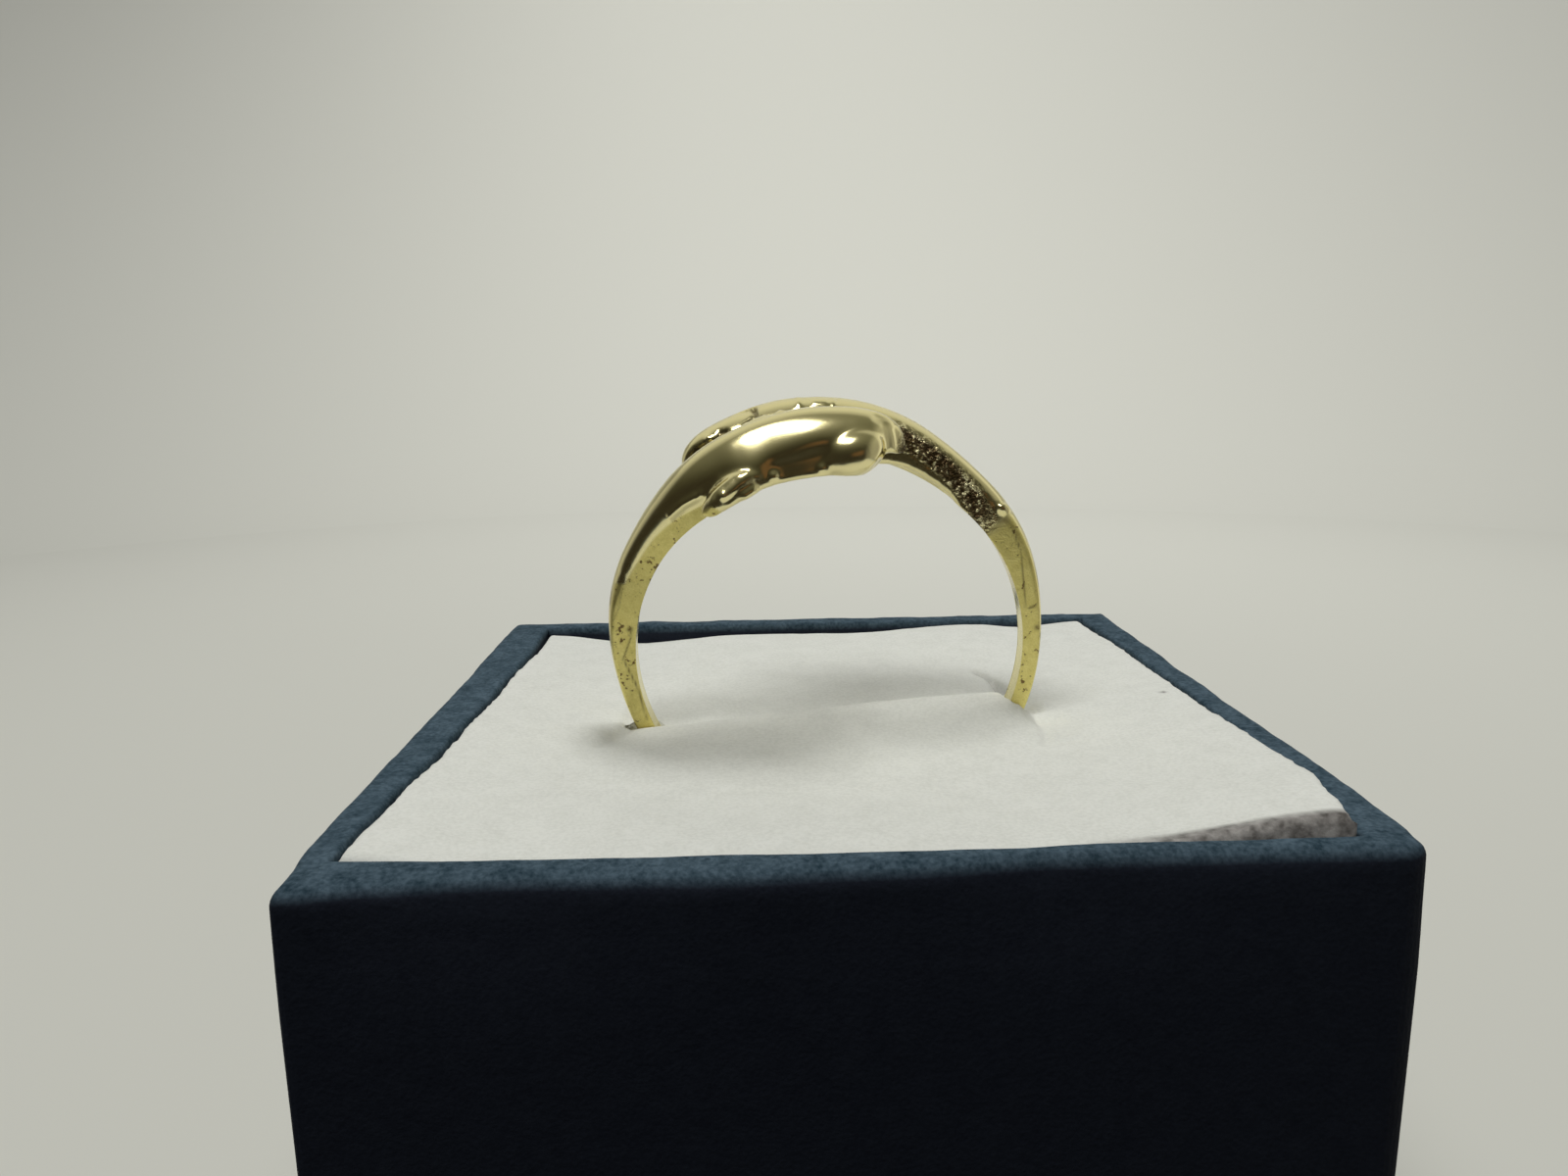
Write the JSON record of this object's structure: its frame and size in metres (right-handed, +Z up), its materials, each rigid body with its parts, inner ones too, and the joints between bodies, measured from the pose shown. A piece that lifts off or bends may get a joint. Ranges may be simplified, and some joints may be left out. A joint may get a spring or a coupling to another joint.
{
  "type": "dolphin wrap ring in an open ring box",
  "caption": "Cast gold ring of dolphins that pass each other at the top and sweep back into a plain band, upright in the slit of a white foam insert in an open paper-covered box.",
  "frame": {"origin": "middle of the underside of the box", "axes": "+Z up, -Y towards the front of the box, +X to the right as seen from the front"},
  "size_m": [0.0372, 0.0358, 0.0424],
  "materials": {
    "gold": "polished yellow gold with a pale greenish tone, brushed on the sides of the band",
    "foam": "matt off-white flocked foam",
    "box_paper": "dark navy textured paper over card"
  },
  "bodies": {
    "root": {"dolphin_ring": "gold", "foam_insert": "foam", "box_tray": "box_paper"}
  },
  "joints": []
}
